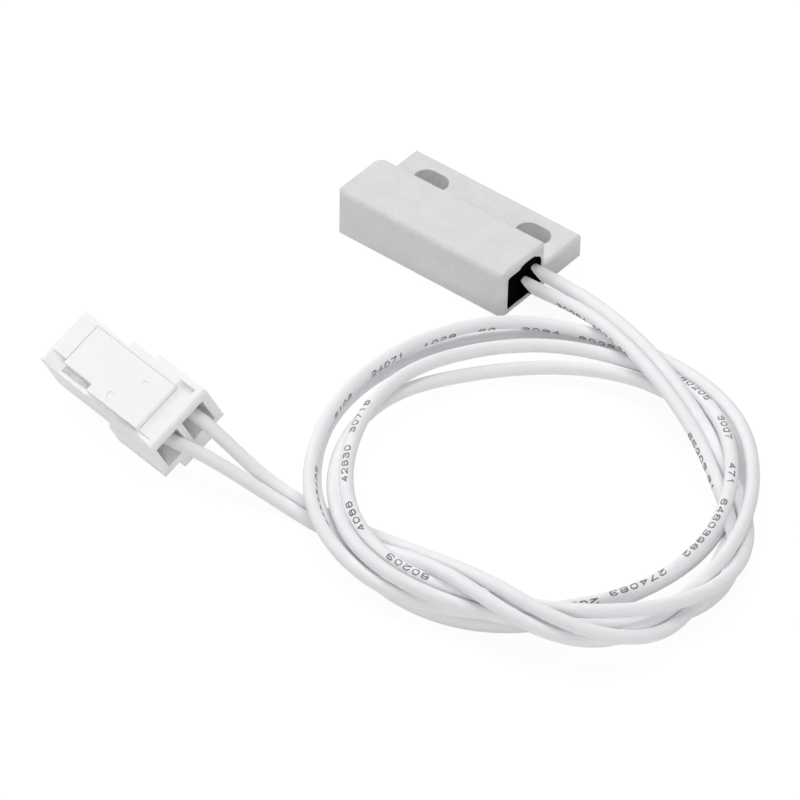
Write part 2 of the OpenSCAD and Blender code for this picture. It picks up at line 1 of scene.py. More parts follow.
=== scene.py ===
"""Looks of a flange-mount reed sensor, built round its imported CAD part.

A white moulded housing holds a potted reed switch, two thin white wires lie in
loose turns, and a white two-way plug with a retainer plate is on their ends.
Sizes are written in millimetres and MM turns them to metres. The frame is the
CAD part's: origin under the middle of the housing, +X to the cable end, +Z up.
"""

import logging
import math
from dataclasses import dataclass, field
from enum import Enum

import bmesh
import bpy
import numpy as np
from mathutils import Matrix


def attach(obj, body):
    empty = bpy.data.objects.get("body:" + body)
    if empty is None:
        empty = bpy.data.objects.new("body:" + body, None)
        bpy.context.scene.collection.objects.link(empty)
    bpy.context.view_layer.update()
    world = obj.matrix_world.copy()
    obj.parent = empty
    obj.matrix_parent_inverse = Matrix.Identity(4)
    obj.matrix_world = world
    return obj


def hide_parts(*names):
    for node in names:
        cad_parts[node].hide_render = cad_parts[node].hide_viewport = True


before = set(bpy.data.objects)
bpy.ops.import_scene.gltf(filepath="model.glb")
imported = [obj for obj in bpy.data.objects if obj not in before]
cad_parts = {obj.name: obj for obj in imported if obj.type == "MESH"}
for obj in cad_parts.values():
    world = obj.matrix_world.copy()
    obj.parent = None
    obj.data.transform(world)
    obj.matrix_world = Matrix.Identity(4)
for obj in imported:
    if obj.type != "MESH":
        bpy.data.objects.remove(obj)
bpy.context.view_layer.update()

MM = 0.001
ROOT = "root"
WHITE = (1.0, 1.0, 1.0, 1.0)
# nearly all of a noise's values lie between these, and of two noises' product
NOISE_LOW, NOISE_HIGH = 0.3, 0.7
PRODUCT_LOW, PRODUCT_HIGH = 0.15, 0.35
# points of a CAD mesh that are nearer than this are one point
MERGE_REACH = 0.0001 * MM
Colour = tuple[float, float, float]
Place = tuple[float, float, float]
Pair = tuple[float, float]
Socket = bpy.types.NodeSocket
log = logging.getLogger("reed_sensor")


class Kind(Enum):
    """Node types of the finishes and the studio, under the names Blender gives them."""

    COORDS = "ShaderNodeTexCoord"
    NOISE = "ShaderNodeTexNoise"
    RAMP = "ShaderNodeValToRGB"
    RANGE = "ShaderNodeMapRange"
    BUMP = "ShaderNodeBump"
    BEVEL = "ShaderNodeBevel"
    MAPPING = "ShaderNodeMapping"
    MATHS = "ShaderNodeMath"
    PATHS = "ShaderNodeLightPath"
    PRINCIPLED = "ShaderNodeBsdfPrincipled"
    DIFFUSE = "ShaderNodeBsdfDiffuse"
    GLOW = "ShaderNodeEmission"
    SKY = "ShaderNodeBackground"
    ADD = "ShaderNodeAddShader"
    MIX = "ShaderNodeMixShader"
    SURFACE_OUT = "ShaderNodeOutputMaterial"
    WORLD_OUT = "ShaderNodeOutputWorld"


class Recipe:
    """A node tree with short calls that add a node and join its sockets."""

    def __init__(self, tree: bpy.types.NodeTree) -> None:
        """Starts on an emptied tree."""
        self.tree = tree
        tree.nodes.clear()

    def add(self, kind: Kind, inputs: dict | None = None, **settings) -> bpy.types.Node:
        """Adds one node.

        Args:
            kind: the node's type.
            inputs: for each input socket, by its name or its place, a value or
                another node's output socket.
            settings: properties of the node itself.

        Returns:
            The new node.
        """
        node = self.tree.nodes.new(kind.value)
        for name, value in settings.items():
            setattr(node, name, value)
        for name, value in (inputs or {}).items():
            if isinstance(value, Socket):
                self.tree.links.new(value, node.inputs[name])
            else:
                node.inputs[name].default_value = value
        return node

    def noise(self, place: Socket, scale: float, detail: float = 2.0,
              roughness: float = 0.5) -> Socket:
        """Adds a noise.

        Args:
            place: the coordinates.
            scale: how many lumps it has in a unit of them.
            detail: how many finer layers lie on the first.
            roughness: how strong each layer is beside the one before.

        Returns:
            The noise's value.
        """
        return self.add(Kind.NOISE, {"Vector": place, "Scale": scale, "Detail": detail,
                                     "Roughness": roughness}).outputs["Fac"]

    def relief(self, height: Socket, depth_mm: float, strength: float = 0.5,
               **inputs: Socket) -> Socket:
        """Turns a height into a bumpy normal.

        Args:
            height: the height, from 0 to 1.
            depth_mm: how many millimetres a height of 1 stands for.
            strength: how much of the bumps is kept.
            inputs: a Normal to start from, where it isn't the surface's own.

        Returns:
            The normal.
        """
        return self.add(Kind.BUMP, {"Height": height, "Distance": depth_mm * MM,
                                    "Strength": strength, **inputs}).outputs["Normal"]

    def ramp(self, value: Socket, low: Colour, high: Colour, start: float = NOISE_LOW,
             end: float = NOISE_HIGH) -> Socket:
        """Colours a value from low at start to high at end.

        Args:
            value: the socket that drives the ramp.
            low, high: linear colours at the two stops.
            start, end: the places of the stops.

        Returns:
            The ramp's colour socket.
        """
        node = self.add(Kind.RAMP, {"Fac": value})
        stops = node.color_ramp.elements
        stops[0].position, stops[1].position = start, end
        stops[0].color, stops[1].color = (*low, 1.0), (*high, 1.0)
        return node.outputs["Color"]

    def spread(self, value: Socket, low: float, high: float) -> Socket:
        """Maps a noise's usual range onto low to high."""
        return self.add(Kind.RANGE, {"Value": value, "From Min": NOISE_LOW,
                                     "From Max": NOISE_HIGH, "To Min": low,
                                     "To Max": high}).outputs["Result"]

    def around(self, value: Socket, middle: float, reach: float) -> Socket:
        """Maps a noise's usual range onto middle, give or take reach."""
        return self.spread(value, middle - reach, middle + reach)

    def choose(self, share: Socket, first: bpy.types.Node, second: bpy.types.Node) -> Socket:
        """Mixes two shaders: the first where share is 0, the second where it is 1."""
        return self.add(Kind.MIX, {"Fac": share, 1: first.outputs[0],
                                   2: second.outputs[0]}).outputs[0]


def shaded(colour: Colour, factor: float) -> Colour:
    """The colour with each channel times factor, at most 1."""
    return tuple(min(1.0, channel * factor) for channel in colour)


def new_material(name: str) -> tuple[bpy.types.Material, Recipe]:
    """Makes a node material with nothing in it yet.

    Args:
        name: the material's name.

    Returns:
        The material, and the recipe that fills it.
    """
    material = bpy.data.materials.new(name)
    material.use_nodes = True
    return material, Recipe(material.node_tree)


@dataclass(frozen=True)
class Finish:
    """What every finish has: a name, a linear colour and one Principled shader."""

    name: str
    colour: Colour

    def inputs(self, r: Recipe) -> dict:
        """Adds the nodes that feed the shader and returns its inputs."""
        raise NotImplementedError

    def material(self) -> bpy.types.Material:
        """Builds the finish.

        Returns:
            The node material.
        """
        material, r = new_material(self.name)
        shader = r.add(Kind.PRINCIPLED, self.inputs(r))
        r.add(Kind.SURFACE_OUT, {"Surface": shader.outputs["BSDF"]})
        return material


@dataclass(frozen=True)
class MouldedPlastic(Finish):
    """A white moulded plastic: mottled colour, fine grain and uneven gloss.

    grain_mm is the grain's size and depth_mm its height, mottle the share by
    which the colour varies with the grain and over cloud_mm, gloss_spread how
    far the roughness varies, edge_mm the radius that the eye sees on sharp
    edges, translucence the share of light that spreads inside, and light_mm how
    far it spreads.
    """

    roughness: float = 0.5
    gloss_spread: float = 0.06
    grain_mm: float = 0.25
    depth_mm: float = 0.01
    cloud_mm: float = 3.0
    mottle: float = 0.04
    edge_mm: float = 0.12
    specular: float = 0.4
    translucence: float = 0.0
    light_mm: float = 0.25

    def inputs(self, r: Recipe) -> dict:
        """Adds the nodes that feed the shader: the clouds times the grain colour
        it, and the grain lies as bumps on rounded edges.

        Args:
            r: the material's recipe.

        Returns:
            The shader's inputs.
        """
        place = r.add(Kind.COORDS).outputs["Object"]
        cloud = r.noise(place, 1 / (self.cloud_mm * MM), detail=3.0, roughness=0.6)
        grain = r.noise(place, 1 / (self.grain_mm * MM))
        both = r.add(Kind.MATHS, {0: cloud, 1: grain}, operation="MULTIPLY").outputs[0]
        rounded = r.add(Kind.BEVEL, {"Radius": self.edge_mm * MM}, samples=6).outputs["Normal"]
        return {
            "Base Color": r.ramp(both, shaded(self.colour, 1 - self.mottle), self.colour,
                                 start=PRODUCT_LOW, end=PRODUCT_HIGH),
            "Roughness": r.around(grain, self.roughness, self.gloss_spread),
            "Specular IOR Level": self.specular, "Subsurface Weight": self.translucence,
            "Subsurface Radius": (1.0, 1.0, 1.0), "Subsurface Scale": self.light_mm * MM,
            "Normal": r.relief(grain, self.depth_mm, strength=0.6, Normal=rounded)}


@dataclass(frozen=True)
class WireInsulation(Finish):
    """Satin white wire insulation, with the faint draw lines of its extrusion.

    line_scale is how close the lines lie along and round the wire, scuff_scale
    how close the scuffs lie, and scuff the share by which they darken it.
    """

    roughness: float = 0.45
    gloss_spread: float = 0.07
    specular: float = 0.12
    line_scale: Place = (40.0, 14.0, 1.0)
    line_depth_mm: float = 0.02
    scuff_scale: float = 420.0
    scuff: float = 0.035

    def inputs(self, r: Recipe) -> dict:
        """Adds the nodes that feed the shader: draw lines as bumps and in the gloss, and
        scuffs in the colour.

        Args:
            r: the material's recipe.

        Returns:
            The shader's inputs.
        """
        coords = r.add(Kind.COORDS)
        along = r.add(Kind.MAPPING, {"Vector": coords.outputs["UV"], "Scale": self.line_scale})
        lines = r.noise(along.outputs["Vector"], 1.0, detail=3.0, roughness=0.55)
        scuffs = r.noise(coords.outputs["Object"], self.scuff_scale, detail=4.0, roughness=0.65)
        return {"Base Color": r.ramp(scuffs, shaded(self.colour, 1 - self.scuff), self.colour),
                "Roughness": r.around(lines, self.roughness, self.gloss_spread),
                "Specular IOR Level": self.specular,
                "Normal": r.relief(lines, self.line_depth_mm)}


@dataclass(frozen=True)
class PottingResin(Finish):
    """Black potting compound: dull, with a slightly uneven cast skin.

    skin_scale is how close the skin's lumps lie, and bloom how many times as
    light as the rest they are.
    """

    name: str = "black_potting"
    colour: Colour = (0.0004, 0.0004, 0.0004)
    roughness: float = 0.6
    gloss_spread: float = 0.1
    specular: float = 0.006
    skin_scale: float = 1500.0
    skin_depth_mm: float = 0.04
    bloom: float = 2.5

    def inputs(self, r: Recipe) -> dict:
        """Adds the nodes that feed the shader: the skin's lumps lie in its colour, its
        gloss and its bumps.

        Args:
            r: the material's recipe.

        Returns:
            The shader's inputs.
        """
        place = r.add(Kind.COORDS).outputs["Object"]
        skin = r.noise(place, self.skin_scale, detail=4.0, roughness=0.6)
        return {"Base Color": r.ramp(skin, self.colour, shaded(self.colour, self.bloom)),
                "Roughness": r.around(skin, self.roughness, self.gloss_spread),
                "Specular IOR Level": self.specular,
                "Normal": r.relief(skin, self.skin_depth_mm)}


@dataclass(frozen=True)
class Metal(Finish):
    """Drawn, stamped or soldered metal, with fine streaks in colour and gloss.

    streak_mm is how far apart the streaks lie, drawn how close they lie along X
    beside that, and tarnish the share by which they darken the metal.
    """

    roughness: float
    gloss_spread: float = 0.08
    streak_mm: float = 0.15
    drawn: float = 0.15
    tarnish: float = 0.18
    streak_depth_mm: float = 0.005

    def inputs(self, r: Recipe) -> dict:
        """Adds the nodes that feed the shader: streaks lie in its colour, its gloss and
        its bumps.

        Args:
            r: the material's recipe.

        Returns:
            The shader's inputs.
        """
        place = r.add(Kind.COORDS).outputs["Object"]
        stretched = r.add(Kind.MAPPING, {"Vector": place, "Scale": (self.drawn, 1.0, 1.0)})
        streaks = r.noise(stretched.outputs["Vector"], 1 / (self.streak_mm * MM), detail=3.0,
                          roughness=0.6)
        return {"Base Color": r.ramp(streaks, shaded(self.colour, 1 - self.tarnish), self.colour),
                "Roughness": r.around(streaks, self.roughness, self.gloss_spread),
                "Metallic": 1.0, "Normal": r.relief(streaks, self.streak_depth_mm)}


@dataclass(frozen=True)
class TubeGlass(Finish):
    """The reed switch's faintly green glass, with drawn ripples."""

    name: str = "reed_tube_glass"
    colour: Colour = (0.86, 0.97, 0.9)
    roughness: float = 0.05
    ior: float = 1.5
    tint: float = 0.05
    ripple_scale: float = 600.0
    ripple_depth_mm: float = 0.01

    def inputs(self, r: Recipe) -> dict:
        """Adds the nodes that feed the shader: the ripples lie in its colour and its
        bumps.

        Args:
            r: the material's recipe.

        Returns:
            The shader's inputs.
        """
        ripple = r.noise(r.add(Kind.COORDS).outputs["Object"], self.ripple_scale)
        return {"Base Color": r.ramp(ripple, shaded(self.colour, 1 - self.tint), self.colour),
                "Roughness": self.roughness, "IOR": self.ior, "Transmission Weight": 1.0,
                "Normal": r.relief(ripple, self.ripple_depth_mm, strength=0.4)}


@dataclass(frozen=True)
class PrintInk(Finish):
    """Thin grey ink, worn unevenly: worn times as light where it is thinnest."""

    name: str = "wire_print_ink"
    colour: Colour = (0.16, 0.16, 0.165)
    worn: float = 2.6
    wear_scale: float = 2600.0
    roughness: Pair = (0.45, 0.6)
    specular: float = 0.3

    def inputs(self, r: Recipe) -> dict:
        """Adds the nodes that feed the shader: the wear lies in its colour and its
        gloss.

        Args:
            r: the material's recipe.

        Returns:
            The shader's inputs.
        """
        wear = r.noise(r.add(Kind.COORDS).outputs["Object"], self.wear_scale)
        return {"Base Color": r.ramp(wear, self.colour, shaded(self.colour, self.worn),
                                     start=0.4),
                "Roughness": r.spread(wear, *self.roughness),
                "Specular IOR Level": self.specular}


def grid_faces(rows: int, columns: int) -> np.ndarray:
    """Quads of a grid of points that is stored row by row, and whose last column
    joins the first.

    Args:
        rows, columns: the grid's size in points.

    Returns:
        Each quad's four point numbers, one quad a row.
    """
    row = np.arange(rows - 1)[:, None] * columns
    column = np.arange(columns)[None, :]
    following = (column + 1) % columns
    quads = np.stack([row + column, row + columns + column,
                      row + columns + following, row + following], axis=-1)
    return quads.reshape(-1, 4)


def link_piece(name: str, data: bpy.types.ID) -> bpy.types.Object:
    """Puts a mesh, lamp or camera into the scene at the origin.

    Args:
        name: the object's name.
        data: what it shows.

    Returns:
        The linked object.
    """
    piece = bpy.data.objects.new(name, data)
    bpy.context.scene.collection.objects.link(piece)
    return piece


def make_piece(name: str, points: np.ndarray, faces: list[list[int]],
               material: bpy.types.Material, smooth: bool = True) -> bpy.types.Object:
    """Puts points and faces into a mesh object at the origin.

    Args:
        name: the piece's name.
        points: its points in the row frame, in metres.
        faces: point numbers of each face.
        material: its finish.
        smooth: whether its faces are shaded smooth.

    Returns:
        The linked object.
    """
    mesh = bpy.data.meshes.new(name)
    mesh.from_pydata(points.reshape(-1, 3).tolist(), [], faces)
    mesh.polygons.foreach_set("use_smooth", np.full(len(mesh.polygons), smooth))
    mesh.materials.append(material)
    mesh.update()
    return link_piece(name, mesh)


def merged_copy(node: str, name: str) -> bpy.types.Mesh:
    """A flat-shaded copy of a CAD node's mesh with its doubled points merged.

    Args:
        node: the CAD node.
        name: the copy's name.

    Returns:
        The copy.
    """
    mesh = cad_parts[node].data.copy()
    mesh.name = name
    shell = bmesh.new()
    shell.from_mesh(mesh)
    bmesh.ops.remove_doubles(shell, verts=shell.verts, dist=MERGE_REACH)
    shell.to_mesh(mesh)
    shell.free()
    mesh.polygons.foreach_set("use_smooth", np.zeros(len(mesh.polygons), bool))
    mesh.materials.clear()
    return mesh


def smooth_line(pulls: np.ndarray, per_span: int) -> np.ndarray:
    """Points of the uniform cubic curve that a list of points pulls.

    In each span a point is a sixth of the sum of four pulling points in a row,
    times (1-s)^3, 3s^3-6s^2+4, -3s^3+3s^2+3s+1 and s^3 as s runs from 0 to 1.
    A point before the first and one after the last carry the list on straight.

    Args:
        pulls: the pulling points, one a row.
        per_span: how many points each span gets.

    Returns:
        The curve's points, one a row.
    """
    padded = np.vstack([2 * pulls[0] - pulls[1], pulls, 2 * pulls[-1] - pulls[-2]])
    spans = len(pulls) - 1
    s = (np.arange(per_span) / per_span)[None, :, None]
    four = [padded[k:k + spans, None, :] for k in range(4)]
    weights = [(1 - s) ** 3, 3 * s ** 3 - 6 * s ** 2 + 4, -3 * s ** 3 + 3 * s ** 2 + 3 * s + 1,
               s ** 3]
    line = sum(w * p for w, p in zip(weights, four)) / 6
    last = (padded[-3] + 4 * padded[-2] + padded[-1]) / 6
    return np.vstack([line.reshape(-1, 3), last])


@dataclass
class Line:
    """A centre line with two directions square to it at each point.

    level points sideways and lies flat, crown points up from the line, and
    reach is the length run up to each point.
    """

    points: np.ndarray
    level: np.ndarray = field(init=False)
    crown: np.ndarray = field(init=False)
    reach: np.ndarray = field(init=False)

    def __post_init__(self) -> None:
        """Works out the directions and the length run up to each point."""
        heading = np.gradient(self.points, axis=0)
        heading /= np.linalg.norm(heading, axis=1, keepdims=True)
        level = np.cross(heading, (0.0, 0.0, 1.0))
        self.level = level / np.linalg.norm(level, axis=1, keepdims=True)
        self.crown = np.cross(self.level, heading)
        steps = np.linalg.norm(np.diff(self.points, axis=0), axis=1)
        self.reach = np.concatenate([[0.0], np.cumsum(steps)])

    @property
    def length(self) -> float:
        """The line's whole length in metres."""
        return float(self.reach[-1])

    def carried(self, values: np.ndarray, reach: np.ndarray) -> np.ndarray:
        """The values that lie at reach, drawn straight between the line's points."""
        return np.stack([np.interp(reach, self.reach, values[:, k]) for k in range(3)], -1)

    def at(self, reach: np.ndarray, turn: np.ndarray, radius: np.ndarray | float) -> np.ndarray:
        """Points round the line: the line's own point, plus radius times the level
        direction turned by turn towards the crown.

        Args:
            reach: how far along the line, in metres.
            turn: how far round from level, in radians.
            radius: distance from the line, in metres.

        Returns:
            The points, with one more axis than reach.
        """
        out = (np.cos(turn)[..., None] * self.carried(self.level, reach)
               + np.sin(turn)[..., None] * self.carried(self.crown, reach))
        return self.carried(self.points, reach) + np.asarray(radius)[..., None] * out


@dataclass
class Wire:
    """One insulated wire, from its end in the potting to its crimp in the plug.

    route holds the points that pull it, embed is how deep its end lies behind
    the first of them, and length its stated length with that end counted; length
    is not used.
    """

    name: str
    node: str
    route: np.ndarray
    embed: float
    length: float
    diameter: float = 1.5 * MM
    per_span: int = 11
    sides: int = 24
    lead_rings: int = 4

    @property
    def radius(self) -> float:
        """Half the diameter."""
        return self.diameter / 2

    def centre_line(self) -> Line:
        """Lays out the straight end in the potting, then the curve that the route
        pulls.

        Returns:
            The wire's centre line.
        """
        curve = smooth_line(self.route, self.per_span)
        start = curve[0] - np.array([self.embed, 0.0, 0.0])
        share = np.linspace(0, 1, self.lead_rings, endpoint=False)[:, None]
        return Line(np.vstack([start + (curve[0] - start) * share, curve]))

    def build(self, material: bpy.types.Material) -> bpy.types.Object:
        """Makes the tube: a circle of the wire's radius carried along its line.

        Args:
            material: the insulation's finish.

        Returns:
            The tube, which replaces its CAD node.
        """
        line = self.centre_line()
        turn = np.linspace(0, 2 * np.pi, self.sides, endpoint=False)
        reach, around = np.meshgrid(line.reach, turn, indexing="ij")
        points = line.at(reach, around, self.radius)
        rings = len(line.reach)
        faces = grid_faces(rings, self.sides).tolist()
        faces.append(list(range(self.sides)))
        faces.append(list(range(rings * self.sides - 1, (rings - 1) * self.sides - 1, -1)))
        wire = make_piece(self.name, points, faces, material)
        self.lay_uv(wire, line)
        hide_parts(self.node)
        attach(wire, ROOT)
        log.info("%s: %.1f mm long, %d rings", self.name, line.length / MM, rings)
        return wire

    def lay_uv(self, wire: bpy.types.Object, line: Line) -> None:
        """Gives each corner u, its length along the wire in metres, and v, its turn
        round it from 0 to 1, counted on past the seam.

        Args:
            wire: the tube.
            line: its centre line.
        """
        mesh = wire.data
        vertex = np.empty(len(mesh.loops), int)
        mesh.loops.foreach_get("vertex_index", vertex)
        ring, side = np.divmod(vertex, self.sides)
        # the walls' quads come first, and each has four corners
        corners = (len(line.reach) - 1) * self.sides * 4
        first = np.repeat(side[0:corners:4], 4)
        side = side.astype(float)
        past_seam = (first == self.sides - 1) & (side[:corners] == 0)
        side[:corners] += np.where(past_seam, self.sides, 0)
        uv = np.stack([line.reach[ring], side / self.sides], axis=1).astype(np.float32)
        layer = mesh.uv_layers.new(name="along")
        layer.data.foreach_set("uv", uv.ravel())

    def declare(self, wire: bpy.types.Object, goes_with: list[bpy.types.Object]) -> None:
        """Args:
            wire: the tube; not used.
            goes_with: the pieces on it; not used.
        """
        line = self.centre_line()


@dataclass
class PottingSkin:
    """The black compound as it set: sunk to a dish between the walls, level with
    the rim and a little over it at the top, and drawn up the lower side of each
    wire.

    middle, half and squareness describe the opening in Y and Z, face_x and rim_x
    are where the CAD potting's face and the housing's end lie, and sink is the
    dish's depth below that face. The lens that cuts the dish stands lens_stand
    out of the rim, and its edge lies lens_lift over the face, so that no two
    surfaces fall into one. A collar is collar_rise high where it is highest and
    collar_least where it is lowest, collar_flare wide at its foot, and starts
    collar_gap off the wire. It has its inner wall collar_wall inside the wire,
    which starts collar_tuck below its top and ends collar_root below its foot.
    """

    material: bpy.types.Material
    face_x: float = 11.4 * MM
    rim_x: float = 11.5 * MM
    sink: float = 0.43 * MM
    middle: Pair = (-3.05 * MM, 2.775 * MM)
    half: Pair = (2.94 * MM, 2.165 * MM)
    squareness: float = 11.0
    pad_sides: int = 72
    dish_rings: int = 18
    dish_power: int = 6
    lens_rings: int = 4
    lens_stand: float = 0.5 * MM
    lens_lift: float = 0.001 * MM
    spill_middle: Pair = (-2.5 * MM, 4.87 * MM)
    spill_half: Pair = (1.45 * MM, 0.45 * MM)
    spill_squareness: float = 2.4
    spill_rings: int = 8
    root_rings: int = 3
    spill_height: float = 0.035 * MM
    spill_root: float = 0.05 * MM
    collar_sides: int = 48
    collar_rings: int = 9
    collar_rise: float = 1.65 * MM
    collar_least: float = 0.04 * MM
    collar_turn: float = 50.0
    collar_power: float = 1.4
    collar_flare: float = 0.3 * MM
    collar_least_flare: float = 0.3
    collar_gap: float = 0.004 * MM
    collar_wall: float = 0.06 * MM
    collar_tuck: float = 0.02 * MM
    collar_root: float = 0.03 * MM

    def pad(self, name: str, middle: Pair, half: Pair, squareness: float,
            front: np.ndarray, back: np.ndarray) -> bpy.types.Object:
        """Makes a closed pad across X. Its outline has |y/a|^n + |z/b|^n = 1, and
        its front and back are rings from the middle out to that outline.

        Args:
            name: the pad's name.
            middle, half: its middle and half widths in Y and Z.
            squareness: the power n.
            front, back: x of each ring, from the middle outwards.

        Returns:
            The linked pad.
        """
        turn = np.linspace(0, 2 * np.pi, self.pad_sides, endpoint=False)
        c, s = np.cos(turn), np.sin(turn)
        outline = (np.abs(c) ** squareness + np.abs(s) ** squareness) ** (-1 / squareness)
        # rings from the middle of the back out to the outline, then in over the front
        share = np.concatenate([np.linspace(0, 1, len(back))[1:],
                                np.linspace(0, 1, len(front))[:0:-1]])[:, None]
        depth = np.concatenate([back[1:], front[:0:-1]])[:, None]
        y = middle[0] + half[0] * share * outline * c
        z = middle[1] + half[1] * share * outline * s
        rings = np.stack([np.broadcast_to(depth, y.shape), y, z], axis=-1)
        count, sides = rings.shape[:2]
        around = np.arange(sides)
        following = (around + 1) % sides
        # the two middles come after the rings, and a fan of triangles joins each
        pole, last = np.full(sides, count * sides), (count - 1) * sides
        faces = grid_faces(count, sides)[:, ::-1].tolist()
        faces += np.stack([pole, following, around], -1).tolist()
        faces += np.stack([pole + 1, last + around, last + following], -1).tolist()
        poles = np.array([(back[0], *middle), (front[0], *middle)])
        return make_piece(name, np.vstack([rings.reshape(-1, 3), poles]), faces, self.material)

    def finish(self, piece: bpy.types.Object) -> bpy.types.Object:
        """Gives a piece of the compound its body.

        Args:
            piece: the piece.

        Returns:
            The same piece.
        """
        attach(piece, ROOT)
        log.info("%s: %d faces", piece.name, len(piece.data.polygons))
        return piece

    def body(self) -> bpy.types.Object:
        """Makes the potting with its dish: a merged copy of the CAD potting, less a
        lens whose depth is 1 minus the 6th power of the way out to the walls.

        Returns:
            The linked potting, which replaces its CAD node.
        """
        share = np.linspace(0, 1, self.dish_rings)
        floor = self.face_x - self.sink * (1 - share ** self.dish_power) + self.lens_lift
        lens = self.pad("potting_lens", self.middle, self.half, self.squareness,
                        np.full(self.lens_rings, self.rim_x + self.lens_stand), floor)
        body = link_piece("potting_body", merged_copy("potting", "potting_body"))
        cut = body.modifiers.new("dish", "BOOLEAN")
        cut.object, cut.operation, cut.solver = lens, "DIFFERENCE", "EXACT"
        dished = bpy.data.meshes.new_from_object(
            body.evaluated_get(bpy.context.evaluated_depsgraph_get()))
        body.modifiers.clear()
        spare = [body.data, lens.data]
        body.data = dished
        bpy.data.objects.remove(lens)
        for mesh in spare:
            bpy.data.meshes.remove(mesh)
        dished.materials.clear()
        dished.materials.append(self.material)
        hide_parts("potting")
        return self.finish(body)

    def spill(self) -> bpy.types.Object:
        """Makes the thin tongue over the rim: a flat dome, 1 less the square of the
        way out.

        Returns:
            The linked tongue.
        """
        share = np.linspace(0, 1, self.spill_rings)
        front = self.rim_x + self.spill_height * (1 - share ** 2)
        back = np.full(self.root_rings, self.rim_x - self.spill_root)
        return self.finish(self.pad("potting_spill", self.spill_middle, self.spill_half,
                                    self.spill_squareness, front, back))

    def collar(self, wire: Wire, name: str) -> bpy.types.Object:
        """Makes the compound that climbed one wire. Round the wire its height follows
        the sine of the turn below collar_turn to the power collar_power, and is least
        above it, and from the dish up it closes in on the wire as the square of the
        way left. Its foot is the wider the higher it climbs.

        Args:
            wire: the wire that it climbed.
            name: the collar's name.

        Returns:
            The linked collar.
        """
        turn = np.linspace(0, 2 * np.pi, self.collar_sides, endpoint=False)
        below = np.maximum(0.0, np.sin(math.radians(self.collar_turn) - turn))
        height = self.collar_rise * below ** self.collar_power + self.collar_least
        flare = self.collar_flare * (self.collar_least_flare + (1 - self.collar_least_flare)
                                     * height / self.collar_rise)
        way = np.linspace(0, 1, self.collar_rings)[:, None]
        foot = wire.embed - self.sink
        climb = foot + height * way
        radius = np.vstack([wire.radius + self.collar_gap + (1 - way) ** 2 * flare,
                            np.full((2, len(turn)), wire.radius - self.collar_wall)])
        reach = np.vstack([climb, climb[-1] - self.collar_tuck,
                           np.full(len(turn), foot - self.collar_root)])
        points = wire.centre_line().at(reach, np.broadcast_to(turn, reach.shape), radius)
        # one ring more than there are, taken round to the first, closes the collar
        faces = grid_faces(len(reach) + 1, len(turn)) % reach.size
        return self.finish(make_piece(name, points, faces.tolist(), self.material))


# Plain figures on a lattice LATTICE_WIDE by LATTICE_HIGH: each pair is one
# point's place across and up, and a slash lifts the pen.
LATTICE_WIDE, LATTICE_HIGH = 4, 7
FIGURES = {
    "0": "10 30 42 45 37 17 05 02 10", "1": "15 27 20", "2": "05 17 37 46 44 00 40",
    "3": "06 17 37 46 45 34 14 / 34 43 41 30 10 01", "4": "30 37 02 42",
    "5": "47 07 04 34 43 41 30 10 01", "6": "46 37 17 05 02 10 30 42 43 34 14 03",
    "7": "07 47 10", "8": "14 05 06 17 37 46 45 34 14 03 01 10 30 41 43 34",
    "9": "01 10 30 42 45 37 17 05 04 13 33 44"}


@dataclass
class WirePrint:
    """Plain figures printed on a wire at even steps, as raised strokes of ink.

    Each group is where it starts along the wire in millimetres, its turn round
    the wire from level in degrees, and its figures. A stroke stands proud of the
    wire by proud, and its root lies that deep inside the wire.
    """

    name: str
    wire: Wire
    groups: list[tuple[float, float, str]]
    height: float = 0.58 * MM
    width: float = 0.68 * MM
    step: float = 1.13 * MM
    stroke: float = 0.15 * MM
    proud: float = 0.012 * MM
    root: float = 0.03 * MM
    stations: int = 5

    def strokes(self) -> tuple[np.ndarray, np.ndarray]:
        """Lays out all strokes on the unrolled wire.

        Returns:
            For each stroke its two ends, as length along the wire and distance
            round it, and the turn that its group is centred on.
        """
        ends, turns = [], []
        for start, turn, figures in self.groups:
            for place, figure in enumerate(figures):
                left = start * MM + place * self.step
                for stroke in FIGURES[figure].split("/"):
                    path = [(left + int(x) / LATTICE_WIDE * self.width,
                             (int(y) / LATTICE_HIGH - 0.5) * self.height)
                            for x, y in stroke.split()]
                    ends += zip(path, path[1:])
                    turns += [math.radians(turn)] * (len(path) - 1)
        return np.array(ends), np.array(turns)

    def build(self, material: bpy.types.Material) -> bpy.types.Object:
        """Makes every piece of a stroke a thin closed bar bent onto the wire: its
        stations lie along it, each with four corners across it, and it runs half a
        stroke's width over at each end, so that bars meet in their corners.

        Args:
            material: the ink.

        Returns:
            The linked print.
        """
        ends, turns = self.strokes()
        along = ends[:, 1] - ends[:, 0]
        length = np.linalg.norm(along, axis=1, keepdims=True)
        along, across = along / length, np.stack([-along[:, 1], along[:, 0]], -1) / length
        station = np.linspace(-0.5, 0.5, self.stations)[None, :, None]
        middle = ends.mean(axis=1)[:, None]
        flat = middle + station * (length[:, None] + self.stroke) * along[:, None]
        side = np.array([-0.5, -0.5, 0.5, 0.5]) * self.stroke
        flat = flat[:, :, None] + side[:, None] * across[:, None, None]
        radius = self.wire.radius + np.array([-self.root, self.proud, self.proud, -self.root])
        around = turns[:, None, None] + flat[..., 1] / self.wire.radius
        points = self.wire.centre_line().at(
            flat[..., 0], around, np.broadcast_to(radius, around.shape))
        # one bar's walls and its two ends, repeated with each bar's own points
        corners, size = len(side), self.stations * len(side)
        end = np.arange(corners)
        bar = np.vstack([grid_faces(self.stations, corners), end, size - 1 - end])
        faces = (bar[None] + size * np.arange(len(ends))[:, None, None]).reshape(-1, corners)
        piece = make_piece(self.name, points, faces.tolist(), material, smooth=False)
        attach(piece, ROOT)
        log.info("%s: %d strokes", self.name, len(ends))
        return piece


